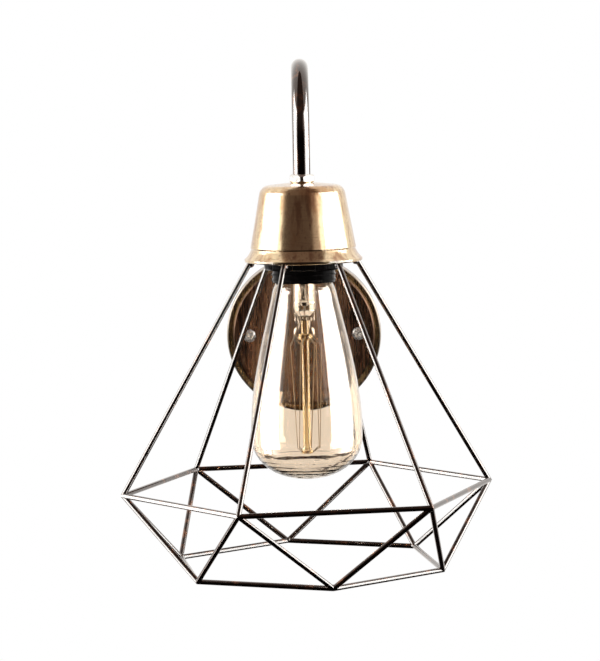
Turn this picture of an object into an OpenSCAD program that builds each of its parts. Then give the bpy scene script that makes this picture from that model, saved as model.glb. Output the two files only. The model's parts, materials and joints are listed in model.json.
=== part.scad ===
// Cage wall light.
// A round wall plate carries a swan-neck arm. The arm carries a bell-shaped cap, a screw
// lampholder with its bulb, and an open wire cage of two hexagons joined by slanting struts.
// Millimetres. The origin is the middle of the wall plate's back, on the wall.
// +Z is up, the wall is the plane y = 0, and the lamp stands out on the -Y side.

/* [Wall plate] */
// Outside diameter of the round wall plate
plate_d = 95; // [92:1:130]
// Depth of the plate from the wall to its face
plate_depth = 20; // [20:1:30]
// Thickness of the plate's spun sheet
plate_wall = 1.2; // [0.8:0.1:1.6]
// Width of the flat shelf round the face
shelf_w = 2.4; // [1.5:0.1:4]
// Height of the face above that shelf
shelf_h = 2.6; // [2:0.1:4]
// Radius of the plate's outer edge
edge_r = 1.6; // [1:0.1:2.5]
// Distance between the two plate screws
plate_screw_spacing = 67; // [60:1:70]

/* [Mounting strap] */
// Height of the strap, along Z
strap_w = 20; // [16:1:26]
// Thickness of the strap
strap_t = 2; // [1.5:0.1:2.5]
// How far the tapped ends stand off the wall
strap_offset = 5; // [4:0.5:7]
// Length of each tapped end beyond its screw
strap_end = 6; // [5:0.5:7]
// Distance between the middles of the two wall slots
slot_spacing = 36; // [34:1:38]
// Length of a wall slot, end to end
slot_len = 12; // [8:1:13]
// Width of a wall slot
slot_w = 4.6; // [3.5:0.1:6]

/* [Terminal block] */
// Width of the block, along X
block_w = 14; // [12:1:15]
// Length of the block, along Z
block_len = 16; // [12:1:18]
// Height of the block above the strap
block_h = 9; // [7:0.5:9]
// Distance between the block's two ways
block_pitch = 7; // [6:0.5:7.5]

/* [Arm] */
// Outside diameter of the arm's tube
tube_d = 10; // [9:0.5:11]
// Wall of the tube
tube_wall = 1; // [0.8:0.1:1.5]
// Distance from the wall to the lamp's axis
arm_reach = 120; // [112:1:150]
// Height of the arc's highest point above the plate's middle
arm_top = 169; // [165:1:210]
// Bend radius of the elbow at the plate, on the tube's centre line
elbow_r = 14; // [12:1:20]

/* [Nuts] */
// Distance across the flats of the hexagon nuts
nut_af = 14; // [14:0.5:17]
// Height of the hexagon nuts
nut_h = 5; // [3.5:0.5:6]
// Thickness of the washer behind the plate
washer_t = 1.2; // [0.8:0.1:1.6]
// Diameter of the washer behind the plate
washer_d = 22; // [18:1:26]

/* [Cap] */
// Height of the cap's lip above the plate's middle
lip_z = 54; // [46:1:62]
// Height of the cap from its lip to its top
cap_h = 43.7; // [42:0.1:47]
// Thickness of the cap's spun sheet
cap_wall = 0.9; // [0.7:0.1:1.2]
// Radius of the flared lip
lip_r = 34.1; // [33.6:0.1:38]
// Radius of the cap's body just above the lip's flare
cap_foot_r = 30.5; // [28:0.1:31]
// Radius of the cap's body at its shoulder
cap_shoulder_r = 24.9; // [23:0.1:27]
// Radius of the rounded shoulder
shoulder_fillet = 6; // [4:0.5:8]
// Rise of the cap's top from the shoulder to the nut
cap_crown = 1; // [0.8:0.1:2]
// Height of the flare at the lip
flare_h = 6; // [5:0.5:8]
// Depth of the groove above the flare
groove = 0.4; // [0.2:0.1:0.6]

/* [Lampholder] */
// How far the holder's skirt hangs below the lip
skirt_drop = 13.5; // [12:0.5:15]
// Outside radius of the holder's skirt
skirt_r = 18; // [17.8:0.1:19]
// Wall of the holder's skirt
skirt_wall = 1.1; // [0.9:0.1:1.3]
// Height of the ridges round the skirt
ridge = 0.6; // [0.4:0.1:0.8]
// Distance between the ridges
ridge_pitch = 3; // [2.5:0.1:3.5]
// Outside radius of the holder's dome
dome_r = 20.6; // [20.2:0.1:22]
// Wall of the holder's dome
dome_wall = 2; // [1.5:0.1:2.2]
// Outside radius of the dome's neck
dome_neck_r = 9; // [8:0.5:11]
// Length of the neck that the tube screws into
neck_len = 10; // [8:0.5:11]
// Outside radius of the shade ring
ring_r = 23.5; // [22.5:0.5:26]
// Height of the shade ring
ring_h = 4.6; // [4:0.1:6]
// Thickness of the brass thread sleeve
sleeve_t = 0.7; // [0.5:0.1:0.9]

/* [Bulb] */
// Largest radius of the glass
bulb_r = 32.3; // [30:0.1:34]
// Distance from the lip down to the bottom of the glass
bulb_drop = 128.2; // [124:0.5:134]
// Radius of the glass just below the holder
bulb_neck_r = 19; // [18.5:0.1:20]
// Thickness of the glass
glass_t = 0.9; // [0.6:0.1:1.1]
// Thickness of the glass at its lowest point
glass_foot_t = 2.2; // [1.2:0.1:3]
// Radius of the bulb's screw shell
screw_r = 13.1; // [12.8:0.1:13.3]
// Thickness of the screw shell's sheet
screw_t = 0.5; // [0.3:0.1:0.6]
// Radius of the glass stem inside the neck
stem_r = 6.5; // [5.5:0.1:7.5]
// Distance from the lip down to the end of the stem's press
stem_drop = 36; // [33:0.5:38]
// Radius of the glass cane that holds the hooks
cane_r = 2.2; // [1.6:0.1:2.4]
// Distance from the lip down to the bead on the cane
bead_drop = 45.6; // [44:0.1:50]
// Radius of the bead
bead_r = 4.2; // [3.6:0.1:4.6]
// Distance from the lip down to the end of the cane
cane_drop = 113.5; // [105:0.5:118]
// Radius of the button at the end of the cane
button_r = 3.6; // [3:0.1:4.5]
// Radius of the circle of upper hooks
cage_hook_r = 9.5; // [8.5:0.1:12]
// Radius of the circle of lower hooks
foot_hook_r = 8; // [7:0.1:11]
// Number of upper hooks
upper_hooks = 5; // [3:1:7]
// Diameter of the hooks and lead wires
hook_d = 0.5; // [0.4:0.05:0.8]
// Diameter of the filament
filament_d = 0.35; // [0.3:0.05:0.6]

/* [Cage] */
// Diameter of the cage's wire
wire_d = 3; // [2:0.1:4]
// Corner radius of the upper, wider hexagon
waist_r = 108; // [90:1:125]
// Distance from the lip down to the upper hexagon
waist_drop = 133.8; // [110:1:160]
// Corner radius of the lower hexagon
base_r = 81.7; // [65:1:95]
// Distance from the upper hexagon down to the lower one
base_drop = 44.7; // [35:0.5:60]
// Turn of the cage about the lamp's axis
cage_turn = 8.8; // [0:0.1:15]
// Radius at which the spokes are welded under the disc
spoke_top_r = 31.2; // [29:0.1:31.3]
// Thickness of the disc that carries the cage
disc_t = 1.4; // [1:0.1:2]

/* [Fits] */
// Radial room between a threaded piece and its hole
thread_room = 0.1; // [0.05:0.01:0.15]
// Radial room round a piece that passes through a plain hole
hole_room = 0.25; // [0.2:0.05:0.4]
// Room between the bulb and the pieces that it turns in
turn_room = 0.4; // [0.3:0.05:0.5]
// Room left for the weld between two wires
weld_room = 0.05; // [0.03:0.01:0.1]

/* [Hidden] */

$fn = 96;
SIDES = 6;
HALF = 180;
eps = 0.01;
fine_fn = 24;
contact_screw_r = 1.5;
contact_head_r = 2.7;
contact_head_h = 1.8;
arc_steps = 6;
curve_steps = 12;
seam_turn = 41;

// Wall side
plate_r = plate_d / 2;
plate_inner = plate_depth - plate_wall;
tube_r = tube_d / 2;
strap_end_y = strap_offset + strap_t;
strap_flat = slot_spacing / 2 + slot_len / 2 + strap_t * 0.75;
strap_foot = plate_screw_spacing / 2 - strap_end;
strap_half = plate_screw_spacing / 2 + strap_end;
earth_z = -strap_w / 2 + 2 * contact_screw_r + 0.5;
block_z = earth_z + 2 * contact_screw_r + 1;
way_r = 1.6;
plate_screw_r = 2;
plate_screw_head_r = 4;
plate_screw_head_h = 2.3;
rear_nut_y = plate_inner - washer_t - nut_h;
tube_end_y = rear_nut_y - 1;
face_r = plate_r - edge_r - shelf_w;
face_fillet = 1.4;
face_slope = 0.6;

// Arm: the elbow turns up just in front of the front nut
elbow_gap = 2;
rear_y = plate_depth + nut_h + elbow_gap + elbow_r;
arc_r = (arm_reach - rear_y) / 2;
arc_z = arm_top - tube_r - arc_r;

// Lamp: heights are taken from the lip
cap_top = lip_z + cap_h;
cap_inner_top = cap_top - cap_wall;
disc_z = lip_z - disc_t;
disc_r = lip_r - cap_wall - hole_room;
lip_roll = disc_t;
skirt_z = lip_z - skirt_drop;
shoulder_t = 2.5;
shoulder_r = dome_r + 1.4;
skirt_in = skirt_r - skirt_wall;
skirt_seat = 2;
sleeve_in = screw_r + turn_room;
sleeve_out = sleeve_in + sleeve_t;
insert_out = skirt_in - hole_room;
insert_in = sleeve_out + thread_room;
sleeve_drop = 6;
sleeve_z = lip_z - sleeve_drop;
sleeve_h = 19;
seat_z = sleeve_z - skirt_seat;
tip_rise = 17;
tip_z = lip_z + tip_rise;
contact_t = 0.5;
contact_w = 5;
contact_lift = 0.25;
contact_room = 1.4;
insert_plate_z = tip_z + contact_room;
insert_plate_t = 5.6;
insert_top = insert_plate_z + insert_plate_t;
skirt_neck_h = 6;
neck_z = cap_inner_top - neck_len;
contact_screw_x = 7;

// Bulb
glass_rise = 3;
glass_top = lip_z + glass_rise;
glass_neck = screw_r - screw_t - 2 * thread_room;
collar_drop = 7;
flare_drop = 21.5;
belly_rise = 24.2;
belly_swell = 1.3;
belly_reach = 30;
round_reach = 14;
shell_drop = 8;
shell_z = lip_z - shell_drop;
shell_rise = 11;
shell_top = lip_z + shell_rise;
crown_r = 10.5;
crown_z = shell_top + 2.4;
tip_h = 1.2;
vitrite_top = tip_z - tip_h;
tip_r = 4.8;
tip_seat_r = 5.6;
stem_flare_r = glass_neck - glass_t - 3 * thread_room;
stem_top_drop = 1;
stem_top = lip_z - stem_top_drop;
stem_wall = 1;
press_h = 9;
press_t = 4.6;
bead_h = 3.4;
button_h = 3.4;
hook_r = hook_d / 2;
filament_r = filament_d / 2;
stations = upper_hooks + 2;
station_step = 2 * HALF / stations;
first_station = HALF + station_step / 2;
upper_hook_drop = bead_drop + 4.4;
lower_hook_drop = cane_drop - 3.5;
hook_gap = 0.15;
filament_loop = 1.2;

// Cage
wire_r = wire_d / 2;
corner_step = 2 * HALF / SIDES;
waist_z = lip_z - waist_drop;
base_z = waist_z - base_drop;

// ---- Helpers ----

// Places its children at the lamp's axis
module at_lamp() {
    translate([0, -arm_reach, 0]) children();
}

// Turns its children's +Z axis out of the wall
module out_of_wall() {
    rotate([90, 0, 0]) children();
}

// Points of an arc from angle a to angle b
function arc(c, r, a, b, n = arc_steps) =
    [for (i = [0:n]) c + r * [cos(a + (b - a) * i / n), sin(a + (b - a) * i / n)]];

// One point of a cubic curve, and the whole curve
function bezier(p, t) =
    pow(1 - t, 3) * p[0] + 3 * t * pow(1 - t, 2) * p[1]
    + 3 * pow(t, 2) * (1 - t) * p[2] + pow(t, 3) * p[3];
function curve(p, n = curve_steps, first = 0) = [for (i = [first:n]) bezier(p, i / n)];
function unit(v) = v / norm(v);
function reversed(list) = [for (i = [len(list) - 1:-1:0]) list[i]];

// A round bar from p to q, carried on by extra at each end, its seam turned away from the mitres
module bar(p, q, r, extra = 0) {
    v = q - p;
    length = norm(v);
    translate(p)
        rotate([0, acos(v[2] / length), atan2(v[1], v[0])])
            rotate([0, 0, seam_turn]) translate([0, 0, -extra])
                cylinder(h = length + 2 * extra, r = r);
}

// A hexagon nut with chamfered corners and a threaded hole
module hex_nut(af, h, hole_r) {
    corner = af / sqrt(3);
    cut = (corner - af / 2) / 2;
    difference() {
        intersection() {
            cylinder(h = h, r = corner, $fn = SIDES);
            rotate_extrude()
                polygon([
                    [0, 0], [af / 2, 0], [corner, cut], [corner, h - cut], [af / 2, h], [0, h]
                ]);
        }
        translate([0, 0, -eps]) cylinder(h = h + 2 * eps, r = hole_r);
    }
}

// A pan-head screw whose head rests on z = 0 and whose shank points down
module pan_screw(head_r, head_h, shank_r, shank_len) {
    slot = head_r / 4;
    difference() {
        union() {
            rotate_extrude()
                polygon(concat(
                    [[0, 0], [head_r, 0]],
                    arc([head_r - head_h, head_h * 0.35], head_h, 0, 40),
                    [[0, head_h]]
                ));
            translate([0, 0, -shank_len]) cylinder(h = shank_len + eps, r = shank_r);
        }
        for (turn = [0, 90])
            rotate([0, 0, turn + 45])
                translate([-head_r * 0.6, -slot / 2, head_h * 0.45])
                    cube([head_r * 1.2, slot, head_h]);
    }
}

// ---- Wall side ----

// The plate's section: radius against distance from the wall, set in by w
function plate_line(w) = concat(
    [[plate_r - w, 0]],
    arc([plate_r - edge_r, plate_depth - shelf_h - edge_r], edge_r - min(w, edge_r - 0.2), 0, 90),
    [[face_r + face_slope - w, plate_depth - shelf_h - w]],
    arc([face_r - face_fillet - w, plate_depth - face_fillet - w], face_fillet, 0, 90)
);

module wall_plate() color("#5b4030") {
    difference() {
        out_of_wall() rotate_extrude()
            polygon(concat(
                plate_line(0), [[0, plate_depth], [0, plate_inner]], reversed(plate_line(plate_wall))
            ));
        out_of_wall() cylinder(h = plate_depth + 1, r = tube_r + hole_room);
        for (side = [-1, 1])
            translate([side * plate_screw_spacing / 2, 0, 0])
                out_of_wall() cylinder(h = plate_depth + 1, r = plate_screw_r + hole_room);
    }
}

module mounting_strap() color("#b9bcc0") {
    difference() {
        translate([0, 0, -strap_w / 2]) linear_extrude(strap_w)
            polygon(concat(
                [for (side = [-1, 1]) [side * strap_flat, 0]],
                [[strap_foot, -strap_offset], [strap_half, -strap_offset]],
                [[strap_half, -strap_end_y], [strap_foot - strap_t / 2, -strap_end_y]],
                [for (side = [1, -1]) [side * (strap_flat - strap_t / 2), -strap_t]],
                [[strap_t / 2 - strap_foot, -strap_end_y], [-strap_half, -strap_end_y]],
                [[-strap_half, -strap_offset], [-strap_foot, -strap_offset]]
            ));
        for (side = [-1, 1]) {
            translate([side * slot_spacing / 2, 1, 0]) wall_slot();
            translate([side * plate_screw_spacing / 2, 0, 0])
                out_of_wall() cylinder(h = strap_end_y + 1, r = plate_screw_r + thread_room);
        }
        translate([0, 1, earth_z]) out_of_wall()
            cylinder(h = strap_t + 2, r = contact_screw_r + thread_room);
    }
}

// A slot that runs along X, cut through the strap
module wall_slot() {
    run = slot_len - slot_w;
    out_of_wall() {
        for (side = [-1, 1])
            translate([side * run / 2, 0, 0]) cylinder(h = strap_t + 2, r = slot_w / 2);
        translate([-run / 2, -slot_w / 2, 0]) cube([run, slot_w, strap_t + 2]);
    }
}

module plate_screws() color("#d9d6cf") {
    for (side = [-1, 1])
        translate([side * plate_screw_spacing / 2, -plate_depth, 0])
            out_of_wall()
                pan_screw(plate_screw_head_r, plate_screw_head_h, plate_screw_r,
                    plate_depth - strap_offset + 1);
}

module terminal_block() color("#e8e4da") {
    translate([-block_w / 2, -strap_t - block_h, block_z])
        difference() {
            cube([block_w, block_h, block_len]);
            for (side = [-1, 1])
                translate([block_w / 2 + side * block_pitch / 2, 0, 0]) {
                    translate([0, block_h / 2, -eps]) cylinder(h = block_len + 2 * eps, r = way_r);
                    for (end = [0.25, 0.75])
                        translate([0, block_h / 2, block_len * end])
                            out_of_wall() cylinder(h = block_h, r = contact_screw_r + thread_room);
                }
        }
}

module terminal_screws() color("#c9a84a") {
    pin_y = -strap_t - block_h / 2 - way_r;
    for (side = [-1, 1])
        for (end = [0.25, 0.75])
            translate([side * block_pitch / 2, pin_y, block_z + block_len * end])
                out_of_wall() slotted_pin(contact_screw_r, block_h / 2 - way_r - 0.3);
}

// A headless screw with a slot in its top
module slotted_pin(r, h) {
    difference() {
        cylinder(h = h, r = r);
        translate([-r, -r / 6, h - r / 2]) cube([2 * r, r / 3, r]);
    }
}

module earth_screw() color("#c9a84a") {
    translate([0, -strap_t, earth_z]) out_of_wall()
        pan_screw(contact_head_r, contact_head_h, contact_screw_r, strap_t);
}

// ---- Arm ----

// The arm's tube as a solid of radius r
module arm_path(r) {
    translate([0, -tube_end_y, 0]) out_of_wall()
        cylinder(h = rear_y - elbow_r - tube_end_y, r = r);
    translate([0, elbow_r - rear_y, elbow_r]) rotate([-90, 0, -90])
        rotate_extrude(angle = 90) translate([elbow_r, 0]) circle(r = r);
    translate([0, -rear_y, elbow_r]) cylinder(h = arc_z - elbow_r, r = r);
    translate([0, -rear_y - arc_r, arc_z]) rotate([90, 0, 90])
        rotate_extrude(angle = HALF) translate([arc_r, 0]) circle(r = r);
    translate([0, -arm_reach, neck_z]) cylinder(h = arc_z - neck_z, r = r);
}

module arm_tube() color("#4a3524") {
    difference() {
        arm_path(tube_r);
        arm_path(tube_r - tube_wall);
    }
}

module plate_front_nut() color("#e4e1da") {
    translate([0, -plate_depth, 0]) out_of_wall() hex_nut(nut_af, nut_h, tube_r + thread_room);
}

module plate_rear_nut() color("#d4b25a") {
    translate([0, -rear_nut_y, 0]) out_of_wall() hex_nut(nut_af, nut_h, tube_r + thread_room);
}

module plate_washer() color("#c4c6c8") {
    translate([0, washer_t - plate_inner, 0]) out_of_wall() difference() {
        cylinder(h = washer_t, r = washer_d / 2);
        translate([0, 0, -eps]) cylinder(h = washer_t + 2 * eps, r = tube_r + hole_room);
    }
}

module cap_nut() color("#e4e1da") {
    at_lamp() translate([0, 0, cap_top]) hex_nut(nut_af, nut_h, tube_r + thread_room);
}

// ---- Cap ----

// The cap's section from its lip to its hole, set in by w
function cap_line(w) =
    let (
        foot_z = flare_h + 0.8,
        fillet_z = cap_h - cap_crown - shoulder_fillet,
        taper = atan2(cap_foot_r - cap_shoulder_r, fillet_z - foot_z),
        centre = [cap_shoulder_r - shoulder_fillet * cos(taper), fillet_z],
        flare = [
            [lip_r, 0.3], [lip_r - 1.6, 1.6], [cap_foot_r + 0.6, 3.4],
            [cap_foot_r - groove, flare_h]
        ]
    )
    concat(
        w > 0
            ? [[lip_r - w, -lip_roll], [lip_r - w, 0]]
            : arc([lip_r - lip_roll / 2, -lip_roll / 2], lip_roll / 2, -90, 0),
        [for (p = curve(flare, 8, w > 0 ? 1 : 0)) p - [w, 0]],
        [[cap_foot_r - w, foot_z]],
        arc(centre, shoulder_fillet - w, taper, 90 - taper / 2),
        [[dome_neck_r + cap_wall, cap_h - w], [tube_r + hole_room, cap_h - w]]
    );

module bell_cap() color("#a07a4e") {
    at_lamp() translate([0, 0, lip_z]) rotate_extrude()
        polygon(concat(cap_line(0), reversed(cap_line(cap_wall))));
}

// ---- Lampholder ----

module holder_dome() color("#1c1b1a") {
    foot = lip_z + shoulder_t;
    at_lamp() rotate_extrude()
        polygon([
            [dome_r, foot], [dome_r, insert_top - 2], [dome_r - 2, insert_top + dome_wall],
            [dome_neck_r, neck_z], [dome_neck_r, cap_inner_top],
            [tube_r + thread_room, cap_inner_top], [tube_r + thread_room, neck_z],
            [tube_r - tube_wall, neck_z], [tube_r - tube_wall, neck_z - dome_wall],
            [insert_out - 4, insert_top], [dome_r - dome_wall, insert_top],
            [dome_r - dome_wall, foot]
        ]);
}

module holder_insert() color("#e9e6df") {
    difference() {
        at_lamp() rotate_extrude()
            polygon([
                [insert_in, sleeve_z], [insert_out, sleeve_z], [insert_out, insert_top],
                [0, insert_top], [0, insert_plate_z], [insert_in, insert_plate_z]
            ]);
        for (side = [-1, 1])
            at_lamp() translate([side * contact_screw_x, 0, insert_plate_z - eps])
                cylinder(h = insert_top - insert_plate_z + 2 * eps, r = contact_screw_r + thread_room);
    }
}

module holder_screw_sleeve() color("#c9a84a") {
    at_lamp() translate([0, 0, sleeve_z]) difference() {
        cylinder(h = sleeve_h, r = sleeve_out);
        translate([0, 0, -eps]) cylinder(h = sleeve_h + 2 * eps, r = sleeve_in);
    }
}

// A tongue that lies over the bulb's tip, bends up and ends under one of the contact screws
module holder_centre_contact() color("#d4b25a") {
    foot = 3;
    foot_z = tip_z + contact_lift;
    bend_x = contact_screw_x - contact_screw_r - 2;
    end_x = contact_screw_x + contact_w / 2;
    difference() {
        at_lamp() translate([0, contact_w / 2, 0]) out_of_wall() linear_extrude(contact_w)
            polygon([
                [-foot, foot_z], [foot, foot_z], [bend_x, insert_plate_z - contact_t],
                [end_x, insert_plate_z - contact_t], [end_x, insert_plate_z],
                [bend_x - contact_t, insert_plate_z],
                [foot - contact_t / 2, foot_z + contact_t], [-foot, foot_z + contact_t]
            ]);
        at_lamp() translate([contact_screw_x, 0, tip_z])
            cylinder(h = insert_top - tip_z, r = contact_screw_r + thread_room);
    }
}

// The two screws that hold the contacts and the wires
module holder_contact_screws() color("#c9a84a") {
    for (side = [-1, 1])
        at_lamp() translate([side * contact_screw_x, 0, insert_top])
            pan_screw(contact_head_r, contact_head_h, contact_screw_r, insert_top - insert_plate_z);
}

// One ridge of the skirt, as points of its outline
function ridge_line(z) = arc([skirt_r, z], ridge, -90, 90, 6);

module holder_skirt() color("#161514") {
    first = skirt_z + 1 + ridge;
    last = disc_z - 0.5 - ridge;
    count = floor((last - first) / ridge_pitch);
    neck_r = dome_r - dome_wall - thread_room;
    top = lip_z + shoulder_t + skirt_neck_h;
    at_lamp() rotate_extrude()
        polygon(concat(
            [[skirt_in, skirt_z], [skirt_r, skirt_z]],
            [for (i = [0:count]) each ridge_line(first + i * ridge_pitch)],
            [[skirt_r, lip_z], [shoulder_r, lip_z], [shoulder_r, lip_z + shoulder_t]],
            [[neck_r, lip_z + shoulder_t], [neck_r, top], [skirt_in, top]],
            [[skirt_in, sleeve_z], [screw_r + 2 * turn_room, sleeve_z]],
            [[screw_r + 2 * turn_room, seat_z], [skirt_in, seat_z]]
        ));
}

module shade_ring() color("#161514") {
    flutes = 20;
    inner = skirt_r + ridge + hole_room;
    at_lamp() difference() {
        translate([0, 0, disc_z - ring_h]) rotate_extrude()
            polygon([
                [inner, 0], [ring_r - 1.6, 0], [ring_r - 0.6, 1], [ring_r - 0.6, ring_h - 1.6],
                [ring_r, ring_h - 1.2], [ring_r, ring_h], [inner, ring_h]
            ]);
        for (i = [0:flutes - 1])
            rotate([0, 0, i * 2 * HALF / flutes])
                translate([ring_r + 0.3, 0, disc_z - ring_h - eps])
                    cylinder(h = ring_h - 1.6, r = 1.2, $fn = fine_fn);
    }
}

// ---- Bulb ----

// The glass outline from the neck to the bottom, set in by w
function glass_line(w) =
    let (
        neck = glass_neck - w,
        belly = bulb_r - w,
        flare_end = [bulb_neck_r - w, lip_z - flare_drop],
        belly_end = [belly, lip_z - bulb_drop + belly_rise],
        bottom = lip_z - bulb_drop + (w > 0 ? glass_foot_t : 0),
        flare = [
            [neck, lip_z - collar_drop], [neck + 0.2, lip_z - collar_drop - 6.5],
            flare_end + [-1.4, 10], flare_end
        ],
        body = [
            flare_end, flare_end + [2.5, -12.5], belly_end + [belly_swell, belly_reach], belly_end
        ],
        round_end = [belly_end, belly_end - [0.3, round_reach], [belly * 0.6, bottom], [0, bottom]]
    )
    concat(
        [[neck, glass_top]],
        curve(flare),
        curve(body, curve_steps, 1),
        curve(round_end, curve_steps, 1)
    );

module bulb_glass() color([0.9, 0.75, 0.5, 0.35]) {
    at_lamp() rotate_extrude()
        polygon(concat(glass_line(0), reversed(glass_line(glass_t))));
}

module bulb_screw_shell() color("#cfc9b8") {
    at_lamp() rotate_extrude()
        polygon([
            [screw_r, shell_z], [screw_r, shell_top], [crown_r, crown_z],
            [crown_r - screw_t, crown_z], [crown_r - screw_t, crown_z - screw_t],
            [screw_r - screw_t, shell_top - screw_t], [screw_r - screw_t, shell_z]
        ]);
}

module bulb_insulator() color("#14110f") {
    plug_r = crown_r - screw_t - thread_room;
    at_lamp() rotate_extrude()
        polygon([
            [0, shell_top], [plug_r, shell_top], [plug_r, crown_z], [crown_r - screw_t / 2, crown_z],
            [tip_seat_r, vitrite_top], [0, vitrite_top]
        ]);
}

module bulb_tip_contact() color("#c8c5bb") {
    at_lamp() rotate_extrude()
        polygon([
            [0, vitrite_top], [tip_r, vitrite_top], [tip_r * 0.8, tip_z - 0.4],
            [tip_r * 0.4, tip_z], [0, tip_z]
        ]);
}

module bulb_stem() color([0.9, 0.95, 0.95, 0.5]) {
    top = stem_top;
    press_z = lip_z - stem_drop;
    press_top = press_z + press_h;
    bore = stem_r - stem_wall;
    at_lamp() {
        rotate_extrude()
            polygon(concat(
                curve([
                    [stem_flare_r, top], [stem_r + 1, top - 2], [stem_r, top - 5],
                    [stem_r, top - 10]
                ]),
                [[stem_r, press_top - 3], [press_t / 2, press_top - 8], [0, press_top - 8]],
                [[0, press_top - 2], [bore, press_top + 2]],
                curve([
                    [bore, top - 10], [bore, top - 5], [stem_r, top - 2],
                    [stem_flare_r - stem_wall, top]
                ])
            ));
        translate([0, 0, press_z]) intersection() {
            cylinder(h = press_h, r = stem_r - 0.6);
            translate([-stem_r, -press_t / 2, 0]) cube([2 * stem_r, press_t, press_h]);
        }
    }
}

module bulb_cane() color([0.85, 0.6, 0.25, 0.7]) {
    at_lamp() {
        translate([0, 0, lip_z - cane_drop])
            cylinder(h = cane_drop - stem_drop, r = cane_r);
        translate([0, 0, lip_z - bead_drop]) rotate_extrude()
            translate([bead_r - bead_h / 2, 0]) circle(r = bead_h / 2);
        translate([0, 0, lip_z - cane_drop]) rotate_extrude()
            polygon(concat(
                [[0, 0]],
                arc([button_r - 0.8, 0.8], 0.8, -90, 90),
                [[cane_r, button_h], [0, button_h]]
            ));
    }
}

// A point of the bulb at radius r, turned by angle a, at a drop below the lip
function lamp_point(r, a, drop) = [r * cos(a), r * sin(a), lip_z - drop];
function upper_angle(i) = first_station + i * station_step;
function lower_angle(i) = first_station + (i + 0.5) * station_step;

module bulb_upper_hooks() color("#8d8a84") {
    at_lamp()
        for (i = [1:upper_hooks])
            hook(bead_r, bead_drop + 0.4, cage_hook_r, upper_hook_drop, upper_angle(i));
}

module bulb_lower_hooks() color("#8d8a84") {
    at_lamp()
        for (i = [0:upper_hooks])
            hook(button_r, cane_drop - 0.8, foot_hook_r, lower_hook_drop, lower_angle(i));
}

// A wire from the cane out to the inside of the filament
module hook(from_r, from_drop, to_r, to_drop, a) {
    bar(
        lamp_point(from_r + hook_gap, a, from_drop),
        lamp_point(to_r - filament_r - hook_r - hook_gap, a, to_drop),
        hook_r, 0, $fn = fine_fn
    );
}

module bulb_lead_wires() color("#b9a06a") {
    foot_r = cage_hook_r - filament_r - hook_r - hook_gap;
    at_lamp()
        for (i = [0, upper_hooks + 1])
            bar(
                lamp_point(cane_r + 1, upper_angle(i), stem_drop + hook_gap + hook_r),
                lamp_point(foot_r, upper_angle(i), upper_hook_drop),
                hook_r, 0, $fn = fine_fn
            );
}

// The filament's points: it goes round each hook in a loop, up and down between the two circles
function loop_at(r, a, drop) =
    let (along = [-sin(a), cos(a), 0] * filament_loop / 2)
    [lamp_point(r, a, drop) - along, lamp_point(r, a, drop) + along];

module bulb_filament() color("#6d4a28") {
    path = concat(
        [lamp_point(cage_hook_r, upper_angle(0), upper_hook_drop)],
        [for (i = [0:upper_hooks]) each concat(
            loop_at(foot_hook_r, lower_angle(i), lower_hook_drop),
            i < upper_hooks ? loop_at(cage_hook_r, upper_angle(i + 1), upper_hook_drop) : []
        )],
        [lamp_point(cage_hook_r, upper_angle(upper_hooks + 1), upper_hook_drop)]
    );
    at_lamp() {
        for (i = [1:len(path) - 1])
            bar(path[i - 1], path[i], filament_r, 0, $fn = fine_fn);
        for (p = path)
            translate(p) sphere(r = filament_r * 1.3, $fn = fine_fn);
    }
}

// ---- Cage ----

function waist_angle(i) = cage_turn + i * corner_step;
function base_angle(i) = cage_turn + (i + 0.5) * corner_step;
function waist_corner(i) = [waist_r * cos(waist_angle(i)), waist_r * sin(waist_angle(i)), waist_z];
function base_corner(i) = [base_r * cos(base_angle(i)), base_r * sin(base_angle(i)), base_z];
function spoke_top(i) = [spoke_top_r * cos(waist_angle(i)), spoke_top_r * sin(waist_angle(i)), disc_z];

// The far ends of the wires that meet at one corner of each hexagon
function waist_ends(i) = [
    spoke_top(i), waist_corner(i - 1), waist_corner(i + 1), base_corner(i), base_corner(i - 1)
];
function base_ends(i) = [base_corner(i - 1), base_corner(i + 1), waist_corner(i), waist_corner(i + 1)];

// What lies nearer to the other wires that meet the wire from p to own at p
module mitre_cuts(p, own, ends) {
    size = 5 * wire_d;
    for (other = ends)
        if (norm(other - own) > 1) {
            n = unit(unit(other - p) - unit(own - p));
            translate(p)
                rotate([0, acos(n[2]), atan2(n[1], n[0])])
                    translate([-size / 2, -size / 2, -weld_room / 2])
                        cube(size);
        }
}

// A wire from a to b, mitred against every wire that it meets at its two ends
module wire(a, a_ends, b, b_ends) {
    difference() {
        bar(a, b, wire_r, wire_d);
        mitre_cuts(a, b, a_ends);
        mitre_cuts(b, a, b_ends);
    }
}

module cage_disc() color("#8a6a45") {
    at_lamp() translate([0, 0, disc_z]) difference() {
        cylinder(h = disc_t, r = disc_r);
        translate([0, 0, -eps]) cylinder(h = disc_t + 2 * eps, r = skirt_r + ridge + hole_room);
    }
}

module cage_spokes() color("#3a2a1e") {
    at_lamp()
        for (i = [0:SIDES - 1])
            difference() {
                wire(waist_corner(i), waist_ends(i), spoke_top(i), []);
                translate([0, 0, disc_z]) cylinder(h = 3 * wire_d, r = 2 * spoke_top_r);
            }
}

module cage_waist_wires() color("#3a2a1e") {
    at_lamp()
        for (i = [0:SIDES - 1])
            wire(waist_corner(i), waist_ends(i), waist_corner(i + 1), waist_ends(i + 1));
}

module cage_base_wires() color("#3a2a1e") {
    at_lamp()
        for (i = [0:SIDES - 1])
            wire(base_corner(i), base_ends(i), base_corner(i + 1), base_ends(i + 1));
}

// The struts that lean one way, then those that lean the other way
module cage_struts_right() color("#3a2a1e") {
    at_lamp()
        for (i = [0:SIDES - 1])
            wire(waist_corner(i), waist_ends(i), base_corner(i), base_ends(i));
}

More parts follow.
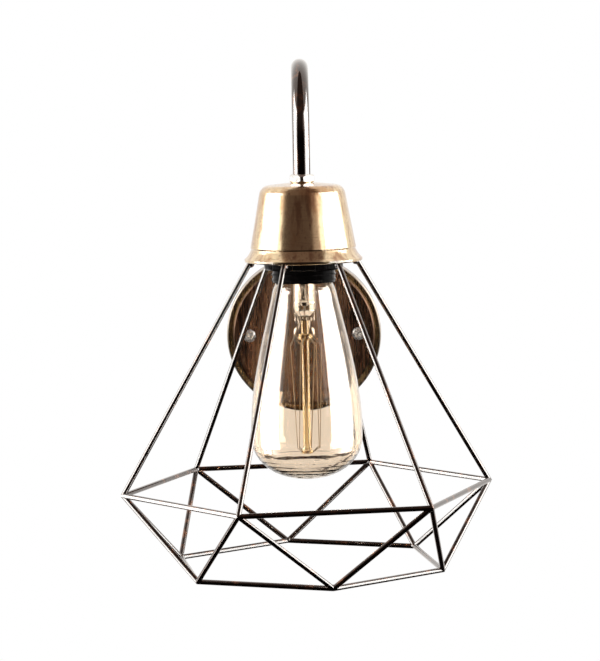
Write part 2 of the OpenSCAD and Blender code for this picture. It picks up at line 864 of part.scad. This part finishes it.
module cage_struts_left() color("#3a2a1e") {
    at_lamp()
        for (i = [0:SIDES - 1])
            wire(waist_corner(i), waist_ends(i), base_corner(i - 1), base_ends(i - 1));
}

wall_plate();
mounting_strap();
plate_screws();
terminal_block();
terminal_screws();
earth_screw();
arm_tube();
plate_front_nut();
plate_rear_nut();
plate_washer();
cap_nut();
bell_cap();
holder_dome();
holder_insert();
holder_screw_sleeve();
holder_centre_contact();
holder_contact_screws();
holder_skirt();
shade_ring();
cage_disc();
cage_spokes();
cage_waist_wires();
cage_struts_right();
cage_struts_left();
cage_base_wires();
bulb_tip_contact();
bulb_insulator();
bulb_screw_shell();
bulb_glass();
bulb_stem();
bulb_cane();
bulb_upper_hooks();
bulb_lower_hooks();
bulb_lead_wires();
bulb_filament();
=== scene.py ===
import json
import math

import bmesh
import bpy
from mathutils import Matrix, Vector, noise


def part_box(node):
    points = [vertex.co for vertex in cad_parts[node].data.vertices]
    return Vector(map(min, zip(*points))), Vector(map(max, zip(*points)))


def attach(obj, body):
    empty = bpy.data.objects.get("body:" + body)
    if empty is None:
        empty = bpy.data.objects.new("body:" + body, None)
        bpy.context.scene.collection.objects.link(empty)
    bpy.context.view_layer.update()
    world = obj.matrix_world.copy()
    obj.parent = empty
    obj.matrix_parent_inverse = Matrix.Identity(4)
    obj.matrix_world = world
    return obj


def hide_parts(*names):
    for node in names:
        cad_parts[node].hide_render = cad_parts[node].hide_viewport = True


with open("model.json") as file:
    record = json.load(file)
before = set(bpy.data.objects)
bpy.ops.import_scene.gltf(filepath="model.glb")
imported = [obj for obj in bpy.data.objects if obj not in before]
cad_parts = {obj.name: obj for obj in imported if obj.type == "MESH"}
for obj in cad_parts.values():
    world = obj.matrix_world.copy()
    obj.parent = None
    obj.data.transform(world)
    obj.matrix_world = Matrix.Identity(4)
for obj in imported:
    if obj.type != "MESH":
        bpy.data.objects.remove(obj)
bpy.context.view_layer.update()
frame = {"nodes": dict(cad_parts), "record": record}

# Cage wall light: finishes, small dressing, light and camera.
# Metres, +Z up. The wall is y = 0, and the light's front faces -Y.

MM = 0.001
NODES = frame["nodes"]
STUDIO_WHITE = (1.0, 0.985, 0.955)

# points in each round row, on nuts and on threads, which have far more rows
NUT_SIDES = 96
THREAD_SIDES = 72
THREAD_ROWS_PER_TURN = 12


def corners(node):
    """A node's lowest and highest corners."""
    return [Vector(corner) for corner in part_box(node)]


def middle(node):
    low, high = corners(node)
    return (low + high) / 2


def top(node):
    return corners(node)[1].z


# a point on the upright axis that the cap, the cage and the bulb share
LAMP = Vector((0.0, middle("bell_cap").y, 0.0))


class Graph:
    """Adds nodes to a node tree. Each value is a number, a colour, or another node's socket."""

    def __init__(self, tree):
        self.tree = tree

    def add(self, kind, values=None, **settings):
        node = self.tree.nodes.new(kind)
        for key, value in settings.items():
            setattr(node, key, value)
        for key, value in (values or {}).items():
            if isinstance(value, bpy.types.NodeSocket):
                self.tree.links.new(value, node.inputs[key])
            else:
                node.inputs[key].default_value = value
        return node

    def calc(self, operation, a, b=0.0):
        return self.add("ShaderNodeMath", {0: a, 1: b}, operation=operation).outputs[0]

    def product(self, first, *others):
        result = first
        for factor in others:
            result = self.calc("MULTIPLY", result, factor)
        return result

    def split(self, vector):
        """The three parts of a vector."""
        return self.add("ShaderNodeSeparateXYZ", {0: vector}).outputs

    def step(self, source, low, high, to_low=0.0, to_high=1.0):
        """source from low to high, eased into to_low to to_high."""
        node = self.add(
            "ShaderNodeMapRange",
            {"Value": source, 1: low, 2: high, 3: to_low, 4: to_high},
            interpolation_type="SMOOTHSTEP",
        )
        return node.outputs[0]

    def mix(self, factor, a, b):
        """Colour a where factor is 0, and colour b where it is 1."""
        return self.add("ShaderNodeMix", {0: factor, 6: a, 7: b}, data_type="RGBA").outputs[2]


# ---- Materials ----


FINISHES = {}


class Finish(Graph):
    """A procedural material built round one Principled shader, kept in FINISHES by its name."""

    def __init__(self, name, **values):
        self.material = bpy.data.materials.new(name)
        self.material.use_nodes = True
        super().__init__(self.material.node_tree)
        self.shader = self.tree.nodes["Principled BSDF"]
        for key, value in values.items():
            self.shader.inputs[key.replace("_", " ")].default_value = value
        self.place = self.add("ShaderNodeTexCoord").outputs["Object"]
        FINISHES[name] = self.material

    def stretched(self, x, y, z):
        """The place, scaled so that a pattern runs long where the factor is small."""
        values = {0: self.place, 1: (x, y, z)}
        return self.add("ShaderNodeVectorMath", values, operation="MULTIPLY").outputs[0]

    def noise(self, vector, scale, detail, roughness):
        values = {"Vector": vector, "Scale": scale, "Detail": detail, "Roughness": roughness}
        return self.add("ShaderNodeTexNoise", values).outputs["Fac"]

    def drive(self, name, source):
        self.tree.links.new(source, self.shader.inputs[name])

    def bump(self, height, distance, strength):
        values = {"Height": height, "Distance": distance, "Strength": strength}
        self.drive("Normal", self.add("ShaderNodeBump", values).outputs["Normal"])


def rgb(red, green, blue):
    """A colour picked in sRGB, 0 to 255, as the shader wants it."""

    def linear(value):
        value /= 255
        return value / 12.92 if value <= 0.04045 else ((value + 0.055) / 1.055) ** 2.4

    return (linear(red), linear(green), linear(blue), 1.0)


def antique_plate():
    """Dark antique brass with upright brush streaks, a painted pale highlight on its rim and a
    plain inside.
    """
    f = Finish("antique_plate", Metallic=1.0, Coat_Weight=0.35, Coat_Roughness=0.12)
    streak = f.noise(f.stretched(1, 1, 0.045), scale=900, detail=4, roughness=0.6)
    broad = f.noise(f.stretched(1, 1, 0.12), scale=130, detail=3, roughness=0.5)
    cloud = f.noise(f.place, scale=45, detail=4, roughness=0.6)
    base = f.mix(f.step(broad, 0.36, 0.66), rgb(84, 60, 46), rgb(134, 100, 78))
    base = f.mix(f.step(streak, 0.45, 0.72, 0.0, 0.7), base, rgb(166, 130, 102))
    base = f.mix(f.step(cloud, 0.52, 0.75, 0.0, 0.7), base, rgb(66, 54, 46))

    x, y, z = f.split(f.place)
    radius = f.calc("SQRT", f.calc("ADD", f.product(x, x), f.product(z, z)))
    low, high = corners("wall_plate")
    face_y, edge_r = low.y, high.x
    # the front edge of the side wall is painted pale as a highlight, standing in for the
    # reflection on its rounded edge, with an uneven border
    uneven = f.calc("ADD", radius, f.product(cloud, 1.2 * MM))
    painted_rim_highlight = f.step(uneven, edge_r - 0.9 * MM, edge_r + 0.3 * MM)
    in_front = f.step(y, face_y + 4.2 * MM, face_y + 4.8 * MM, 1.0, 0.0)
    # painted highlight: a pale grey mixed into the rim's colour
    base = f.mix(f.product(painted_rim_highlight, in_front), base, rgb(196, 186, 172))
    # the hollow behind the face and inside the wall is bare brass
    within = f.step(radius, edge_r - 1.3 * MM, edge_r - 1.1 * MM, 1.0, 0.0)
    behind = f.step(y, face_y + 1.0 * MM, face_y + 1.4 * MM)
    bare = f.mix(f.step(cloud, 0.4, 0.65), rgb(172, 146, 106), rgb(140, 116, 84))
    base = f.mix(f.product(within, behind), base, bare)

    f.drive("Base Color", base)
    f.drive("Roughness", f.step(streak, 0.3, 0.7, 0.2, 0.36))
    f.bump(streak, 0.04 * MM, 0.6)


def antique_brass():
    """Spun brass: fine lathe lines round the axis under a thin lacquer, with brown clouds."""
    f = Finish("antique_brass", Metallic=1.0, Coat_Weight=0.8, Coat_IOR=1.5, Coat_Roughness=0.0)
    lathe = f.noise(f.stretched(0.03, 0.03, 1), scale=2600, detail=3, roughness=0.6)
    cloud = f.noise(f.stretched(1, 1, 0.5), scale=70, detail=5, roughness=0.62)
    speck = f.noise(f.place, scale=620, detail=3, roughness=0.5)
    run = f.noise(f.stretched(1, 1, 0.2), scale=190, detail=4, roughness=0.6)
    base = f.mix(f.step(cloud, 0.38, 0.66), rgb(232, 208, 168), rgb(200, 158, 114))
    base = f.mix(f.step(run, 0.48, 0.68, 0.0, 0.65), base, rgb(150, 100, 68))
    base = f.mix(f.step(lathe, 0.5, 0.8, 0.0, 0.4), base, rgb(140, 100, 74))
    base = f.mix(f.step(speck, 0.62, 0.72, 0.0, 0.6), base, rgb(118, 84, 62))
    f.drive("Base Color", base)
    f.drive("Roughness", f.step(cloud, 0.3, 0.7, 0.17, 0.25))
    f.bump(lathe, 0.02 * MM, 0.5)


def dark_bronze():
    """Bronzed brass wire and tube: a dark polish, rubbed through to copper in patches."""
    f = Finish("dark_bronze", Metallic=1.0, Coat_Weight=1.0, Coat_IOR=1.6, Coat_Roughness=0.0)
    patch = f.noise(f.stretched(1, 1, 0.35), scale=160, detail=5, roughness=0.65)
    grain = f.noise(f.place, scale=900, detail=3, roughness=0.6)
    rubbed = f.step(f.calc("ADD", patch, f.product(grain, 0.12)), 0.58, 0.76)
    f.drive("Base Color", f.mix(rubbed, rgb(64, 51, 44), rgb(146, 100, 72)))
    f.drive("Roughness", f.step(grain, 0.35, 0.7, 0.1, 0.2))
    f.bump(grain, 0.01 * MM, 0.15)


def plain_metal(name, light, dark, roughness, metallic=1.0):
    """Plated or bare metal with a fine grain and faint clouds."""
    f = Finish(name, Metallic=metallic)
    grain_scale = 500
    grain = f.noise(f.place, scale=grain_scale, detail=4, roughness=0.6)
    cloud = f.noise(f.place, scale=grain_scale / 6, detail=3, roughness=0.5)
    f.drive("Base Color", f.mix(f.step(cloud, 0.35, 0.7), light, dark))
    f.drive("Roughness", f.step(grain, 0.3, 0.7, roughness, roughness + 0.14))
    f.bump(grain, 0.02 * MM, 0.4)


def moulded(name, light, dark, roughness, specular=0.5):
    """Moulded plastic, bakelite, porcelain or fused glass, with a faint skin and sheen."""
    f = Finish(name, Specular_IOR_Level=specular)
    grain = f.noise(f.place, scale=400, detail=4, roughness=0.55)
    cloud = f.noise(f.place, scale=50, detail=3, roughness=0.5)
    f.drive("Base Color", f.mix(f.step(cloud, 0.35, 0.7), light, dark))
    f.drive("Roughness", f.step(grain, 0.3, 0.7, roughness, roughness + 0.12))
    f.bump(grain, 0.03 * MM, 0.35)


def glass(name, tint, ior=1.47, scale=38, depth=0.4 * MM):
    """Tinted glass with a ripple in its skin: slow on blown glass, close on pinched glass."""
    f = Finish(name, Base_Color=tint, Transmission_Weight=1.0, Roughness=0.0, IOR=ior)
    ripple = f.noise(f.stretched(1, 1, 0.5), scale=scale, detail=2, roughness=0.4)
    f.bump(ripple, depth, 0.25)


def bulb_wire(name, light, dark):
    """The bulb's thin wires, hardly metallic, so that they stay pale behind the glass."""
    f = Finish(name, Metallic=0.15)
    grain = f.noise(f.place, scale=1500, detail=3, roughness=0.6)
    f.drive("Base Color", f.mix(f.step(grain, 0.35, 0.7), light, dark))
    f.drive("Roughness", f.step(grain, 0.3, 0.7, 0.3, 0.5))


antique_plate()
antique_brass()
dark_bronze()
plain_metal("zinc_steel", rgb(196, 198, 200), rgb(150, 152, 156), 0.32)
plain_metal("bright_steel", rgb(246, 244, 240), rgb(226, 223, 218), 0.08)
plain_metal("satin_steel", rgb(252, 250, 246), rgb(240, 237, 232), 0.2, metallic=0.85)
plain_metal("contact_brass", rgb(214, 178, 96), rgb(176, 138, 70), 0.25)
moulded("white_plastic", rgb(232, 228, 218), rgb(220, 214, 202), 0.4)
moulded("black_bakelite", rgb(8, 7, 7), rgb(14, 12, 12), 0.05, specular=0.08)
moulded("porcelain", rgb(236, 233, 226), rgb(226, 220, 210), 0.12)
plain_metal("tin_contact", rgb(186, 184, 178), rgb(140, 138, 132), 0.3)
moulded("black_glass", rgb(14, 12, 11), rgb(26, 22, 20), 0.08)
plain_metal("bulb_shell", rgb(226, 214, 180), rgb(190, 176, 142), 0.2)
glass("amber_glass", rgb(248, 236, 221))
glass("cane_glass", rgb(236, 212, 166))
glass("stem_glass", rgb(255, 254, 252), ior=1.65, scale=260, depth=1.2 * MM)
bulb_wire("hook_wire", rgb(196, 180, 158), rgb(158, 142, 122))
bulb_wire("filament_wire", rgb(232, 210, 178), rgb(208, 184, 152))

finish_of = {entry["node"]: entry["material_slot"] for entry in frame["record"]["subparts"]}
# the record has one clear glass, which the bulb's cane and stem show in two ways
finish_of["bulb_cane"] = "cane_glass"
finish_of["bulb_stem"] = "stem_glass"

for name, node in NODES.items():
    node.data.materials.clear()
    node.data.materials.append(FINISHES[finish_of[name]])


# ---- Dressing: fasteners, threads and welds ----


def mesh_object(name, shape, body, slot, crease=30.0, finish=None):
    """Makes the finished mesh an object, smooth but for edges sharper than crease."""
    bmesh.ops.recalc_face_normals(shape, faces=shape.faces)
    for face in shape.faces:
        face.smooth = True
    for edge in shape.edges:
        edge.smooth = edge.is_manifold and edge.calc_face_angle() < math.radians(crease)
    mesh = bpy.data.meshes.new(name)
    shape.to_mesh(mesh)
    shape.free()
    piece = bpy.data.objects.new(name, mesh)
    mesh.materials.append(FINISHES[finish or slot])
    bpy.context.scene.collection.objects.link(piece)
    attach(piece, body)
    return piece


def skin(shape, rows, place, ring=True):
    """A skin over rows that each run round the Z axis. A ring's last row meets its first."""
    made = [[shape.verts.new(place @ Vector(point)) for point in row] for row in rows]
    count = len(made[0])
    pairs = list(zip(made, made[1:])) + ([(made[-1], made[0])] if ring else [])
    for low, high in pairs:
        for i in range(count):
            j = (i + 1) % count
            shape.faces.new((low[i], low[j], high[j], high[i]))
    if not ring:
        shape.faces.new(made[0])
        shape.faces.new(made[-1])


def round_row(radius, height, count=NUT_SIDES):
    """radius and height may be numbers, or functions of the angle in degrees."""
    row = []
    for i in range(count):
        a = 360.0 * i / count
        r = radius(a) if callable(radius) else radius
        z = height(a) if callable(height) else height
        row.append((r * math.cos(math.radians(a)), r * math.sin(math.radians(a)), z))
    return row


def dress_nut(node, axis):
    """A chamfered hexagon nut in the place of a plain one, turned by 30 degrees from it, so that
    the nut on the cap has a corner to the front."""
    low, high = corners(node)
    size = high - low
    height = size[axis]
    spans = [size[i] for i in range(3) if i != axis]
    flat = min(min(spans), max(spans) * math.cos(math.radians(30))) / 2
    face, blunt_corner = 0.88 * flat, 1.1 * flat
    bore, lead = 5.1 * MM, 0.4 * MM
    chamfer = math.radians(40)

    def side(a):
        return min(flat / math.cos(math.radians((a - 30) % 60 - 30)), blunt_corner)

    def drop(a):
        return (side(a) - face) * math.tan(chamfer)

    rows = [
        round_row(bore, lead),
        round_row(bore + lead, 0),
        round_row(face, 0),
        round_row(side, drop),
        round_row(side, lambda a: height - drop(a)),
        round_row(face, height),
        round_row(bore + lead, height),
        round_row(bore, height - lead),
    ]
    place = Matrix.Translation(middle(node))
    if axis == 1:
        place = place @ Matrix.Rotation(math.radians(90), 4, "X")
    place = place @ Matrix.Translation((0, 0, -height / 2))
    shape = bmesh.new()
    skin(shape, rows, place)
    piece = mesh_object(node + "_hex", shape, "fixture", "bright_steel")
    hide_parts(node)


def thread(crest, root, pitch, low, high):
    """Rows of a right-hand thread between two heights, run out at its ends."""
    steps = max(8, round((high - low) / pitch * THREAD_ROWS_PER_TURN))
    run_out = 0.6 * pitch
    rows = []
    for k in range(steps + 1):
        z = low + (high - low) * k / steps
        ends = min(1.0, (z - low) / run_out, (high - z) / run_out)

        def radius(a, z=z, ends=ends):
            wave = 0.5 - 0.5 * math.cos(2 * math.pi * (z / pitch - a / 360))
            return crest - (crest - root) * wave * ends

        rows.append(round_row(radius, z, THREAD_SIDES))
    return rows


def dress_plate_screws():
    """Pan-head screws with a cross recess in a domed head, and a cut thread."""
    low, high = corners("plate_screws")
    head, rise = 4.0 * MM, 2.3 * MM
    shank, root, pitch, plain = 2.0 * MM, 1.65 * MM, 0.7 * MM, 2 * MM
    slot_reach, slot_half, slot_slope = 2.3 * MM, 0.42 * MM, 0.25 * MM
    slot_depth, end_depth = 1.3 * MM, 1.0 * MM
    roundness, rings = 2.6, 26
    face = low.y + rise

    def within(u, half):
        """1 up to half from the middle, falling to 0 over the slope."""
        return 1 - min(1.0, max(0.0, (abs(u) - half) / slot_slope))

    def dome(r):
        crown = rise * math.sqrt(max(0.0, 1 - (r / head) ** roundness))
        depth = slot_depth - (slot_depth - end_depth) * r / slot_reach

        def height(a):
            x, y = r * math.cos(math.radians(a - 45)), r * math.sin(math.radians(a - 45))
            along_y = within(x, slot_half) * within(y, slot_reach)
            along_x = within(y, slot_half) * within(x, slot_reach)
            return crown - max(along_y, along_x) * depth

        return round_row(r, height, THREAD_SIDES)

    shape = bmesh.new()
    length = high.y - face
    for side in (-1, 1):
        x = (high.x - head) * side
        place = Matrix.Translation((x, face, 0)) @ Matrix.Rotation(math.radians(90), 4, "X")
        rows = thread(shank, root, pitch, -length, -plain)
        rows += [round_row(shank, 0, THREAD_SIDES), round_row(head * 0.96, 0, THREAD_SIDES)]
        rows += [dome(head * (1 - k / rings)) for k in range(rings)]
        skin(shape, rows, place, ring=False)
    piece = mesh_object(
        "plate_screws_cross", shape, "fixture", "bright_steel", crease=40, finish="satin_steel"
    )
    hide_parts("plate_screws")


def with_inside(rows, sheet):
    """The rows, and back along their inside, for a sheet of that thickness."""

    def pulled_in(x, y, z):
        scale = 1 - sheet / math.hypot(x, y)
        return (x * scale, y * scale, z)

    return rows + [[pulled_in(*point) for point in row] for row in reversed(rows)]


def dress_lamp_threads():
    """The rolled thread of the bulb's base, and the sleeve that it turns in."""
    pitch, sheet = 3.62 * MM, 0.3 * MM
    depth, crown_r = 0.54 * MM, 10.5 * MM
    plain, shoulder_h, slope_h, round_off = 1 * MM, 2.4 * MM, 1.5 * MM, 0.3 * MM
    sleeve_inset, sleeve_depth = 0.05 * MM, 0.33 * MM
    place = Matrix.Translation(LAMP)

    low, high = corners("bulb_screw_shell")
    crest, shoulder_z = high.x, high.z - shoulder_h
    rows = [round_row(crest, low.z, THREAD_SIDES)]
    rows += thread(crest, crest - depth, pitch, low.z + plain, shoulder_z - plain)
    rows += [
        round_row(crest - round_off, shoulder_z, THREAD_SIDES),
        round_row((crest + crown_r) / 2, shoulder_z + slope_h, THREAD_SIDES),
        round_row(crown_r, high.z, THREAD_SIDES),
    ]
    shape = bmesh.new()
    skin(shape, with_inside(rows, sheet), place)
    piece = mesh_object("bulb_screw_thread", shape, "bulb", "bulb_shell")
    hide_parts("bulb_screw_shell")

    low, high = corners("holder_screw_sleeve")
    crest = high.x - sleeve_inset
    rows = thread(crest, crest - sleeve_depth, pitch, low.z, high.z)
    shape = bmesh.new()
    skin(shape, with_inside(rows, sheet), place)
    piece = mesh_object("holder_sleeve_thread", shape, "fixture", "contact_brass")
    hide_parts("holder_screw_sleeve")


def build_welds():
    """A small bead of weld metal in each corner of the cage, and at the top of each spoke."""
    cage_turn, base_turn = 8.8, 30.0
    waist_r, base_r, spoke_top_r, inset = 108 * MM, 81.7 * MM, 31.1 * MM, 0.5 * MM
    corner_bead, top_bead = 1.7 * MM, 1.9 * MM
    lumps_per_metre, own_lumps, lump_height = 900, 5000, 0.1
    rings = (
        (waist_r, top("cage_waist_wires") - 1.5 * MM, 0.0, corner_bead),
        (base_r, top("cage_base_wires") - 1.0 * MM, base_turn, corner_bead),
        (spoke_top_r, top("cage_spokes") - 1.0 * MM, 0.0, top_bead),
    )
    shape = bmesh.new()
    for i in range(6):
        for corner_r, z, turn, bead in rings:
            radius, a = corner_r - inset, math.radians(cage_turn + 60 * i + turn)
            spot = Vector((radius * math.cos(a), LAMP.y + radius * math.sin(a), z))
            for vert in bmesh.ops.create_icosphere(shape, subdivisions=3, radius=bead)["verts"]:
                lump = noise.noise(vert.co * lumps_per_metre + spot * own_lumps)
                vert.co = spot + vert.co * (1 + lump_height * lump)
    mesh_object("cage_welds", shape, "fixture", "dark_bronze")


dress_nut("cap_nut", 2)
dress_nut("plate_front_nut", 1)
dress_plate_screws()
dress_lamp_threads()
build_welds()


# ---- Studio ----


def build_world():
    """A white studio, dark where the camera stands, with bright sides for sharp reflections.
    A strength of 1 is white."""
    world = bpy.data.worlds.new("studio")
    bpy.context.scene.world = world
    world.use_nodes = True
    world.node_tree.nodes.clear()
    g = Graph(world.node_tree)
    across, behind, height = g.split(g.add("ShaderNodeTexCoord").outputs["Generated"])
    path = g.add("ShaderNodeLightPath").outputs

    # the dark side leans back overhead, least at the sides, and the room is dark low down
    turned = g.calc("ADD", behind, g.product(across, 0.045))
    lean = g.calc("SUBTRACT", 1.15, g.product(g.calc("ABSOLUTE", across), 1.5))
    raised = g.calc("SUBTRACT", turned, g.product(g.calc("MAXIMUM", height, 0.0), lean))
    sunk = g.calc("ADD", height, g.product(behind, 0.5))
    lit = g.product(g.step(raised, -0.56, -0.48, 0.0, 0.95), g.step(sunk, -0.28, -0.10))
    # a dim card stands to the right of the camera, above it
    card = g.product(
        g.step(across, 0.33, 0.42, 0.0, 0.35),
        g.step(behind, -0.3, 0.0, 1.0, 0.0),
        g.step(height, 0.08, 0.2),
        g.step(height, 0.5, 0.6, 1.0, 0.0),
    )
    bright = g.calc("ADD", lit, card)
    glow = g.calc("ADD", bright, g.step(height, -0.1, 0.6, 0.012, 0.15))
    # the sides are far brighter than the room in a sharp reflection, on glass and lacquer
    panels = g.product(
        g.step(g.calc("ADD", behind, g.product(across, 0.088)), -0.565, -0.525),
        g.step(behind, 0.25, 0.45, 1.0, 0.0),
        g.step(g.calc("ABSOLUTE", height), 0.45, 0.55, 1.0, 0.0),
    )
    panel_strength = 16.0
    glow = g.calc("ADD", glow, g.product(panels, path["Is Singular Ray"], panel_strength))

    # a ray that meets the world counts one more than its turns
    turns = g.calc("SUBTRACT", path["Ray Depth"], 1.0)
    mirrored = g.calc("SUBTRACT", turns, path["Transmission Depth"])
    # light that is thrown to and fro inside glass is never dark, nor is light on a dull surface
    inside = g.calc("GREATER_THAN", path["Transmission Depth"], 0.5)
    caught = g.product(g.calc("GREATER_THAN", mirrored, 1.5), inside)
    least_caught, least_dull = 0.3, 0.75
    glow = g.calc("MAXIMUM", glow, g.product(caught, least_caught))
    glow = g.calc("MAXIMUM", glow, g.product(path["Is Diffuse Ray"], least_dull))
    # the dark side is a warm brown in reflections
    white_share = g.calc("ADD", g.calc("ADD", bright, panels), path["Is Diffuse Ray"])
    hue = g.mix(white_share, (1, 0.68, 0.56, 1), (*STUDIO_WHITE, 1))
    room = g.add("ShaderNodeBackground", {"Color": hue, "Strength": glow})

    # the camera, and a ray that only passes through glass, meet a white backdrop
    straight = g.product(path["Is Transmission Ray"], g.calc("LESS_THAN", mirrored, 0.5))
    seen = g.calc("MAXIMUM", path["Is Camera Ray"], straight)
    white = g.add("ShaderNodeBackground", {"Color": (1, 1, 1, 1), "Strength": 1.0})
    both = g.add("ShaderNodeMixShader", {0: seen, 1: room.outputs[0], 2: white.outputs[0]})
    g.add("ShaderNodeOutputWorld", {"Surface": both.outputs[0]})


def softbox(name, azimuth, width):
    """A raised soft light that faces the lamp. Azimuth 0 is in front, 90 at the right."""
    height, distance, elevation, radiance = 0.8, 1.3, 17, 1.6
    light = bpy.data.lights.new(name, "AREA")
    light.shape = "RECTANGLE"
    light.size = width
    light.size_y = height
    light.energy = radiance * math.pi * width * height
    light.color = STUDIO_WHITE
    spot = bpy.data.objects.new(name, light)
    turn, rise = math.radians(azimuth), math.radians(elevation)
    away = Vector(
        (math.sin(turn) * math.cos(rise), -math.cos(turn) * math.cos(rise), math.sin(rise))
    )
    spot.location = LAMP + away * distance
    spot.rotation_euler = away.to_track_quat("Z", "Y").to_euler()
    # the backdrop stays white where the box would show, also through glass
    spot.visible_camera = False
    spot.visible_transmission = False
    bpy.context.scene.collection.objects.link(spot)


def build_floor():
    """A plain pale floor, below the light."""
    half_width, centre_y, floor_z = 1.6, -0.3, -0.62
    mesh = bpy.data.meshes.new("floor")
    shape = bmesh.new()
    bmesh.ops.create_grid(shape, x_segments=1, y_segments=1, size=half_width)
    shape.to_mesh(mesh)
    shape.free()
    floor = bpy.data.objects.new("floor", mesh)
    floor.location = (0, centre_y, floor_z)
    bpy.context.scene.collection.objects.link(floor)
    f = Finish("pale_floor", Roughness=0.8, Specular_IOR_Level=0.2)
    cloud = f.noise(f.place, scale=3, detail=3, roughness=0.5)
    f.drive("Base Color", f.mix(cloud, (0.86, 0.86, 0.85, 1), (0.9, 0.9, 0.89, 1)))
    mesh.materials.append(f.material)
    floor.visible_glossy = False


def build_camera():
    """The photograph's camera, fitted to the cage's twelve corners."""
    photo_height, focal_length = 661.0, 2860.6  # pixels
    yaw, pitch, roll = (math.radians(a) for a in (-0.2232, 5.5240, 1.1481))
    stand = Vector((-9.28 * MM, -1770 * MM, 171.81 * MM))
    data = bpy.data.cameras.new("camera")
    data.sensor_fit = "VERTICAL"
    data.sensor_height = 36.0
    data.lens = focal_length * data.sensor_height / photo_height
    data.clip_start = 0.05
    turn = Matrix.Rotation(yaw, 3, "Z")
    turn = turn @ Matrix.Rotation(-pitch, 3, "X")
    turn = turn @ Matrix.Rotation(roll, 3, "Y")
    right, ahead, up = turn.col
    facing = Matrix((right, up, -ahead)).transposed()
    camera = bpy.data.objects.new("camera", data)
    camera.matrix_world = Matrix.Translation(stand) @ facing.to_4x4()
    bpy.context.scene.collection.objects.link(camera)
    bpy.context.scene.camera = camera


build_world()
softbox("softbox_left", -84, 1.6)
softbox("softbox_right", 76, 1.86)
build_floor()
build_camera()

bpy.context.scene.view_settings.view_transform = "Standard"

# light that runs along inside the bulb's thick foot turns often before it gets out
paths = bpy.context.scene.cycles
paths.max_bounces = 20
paths.glossy_bounces = 12
paths.transmission_bounces = 16
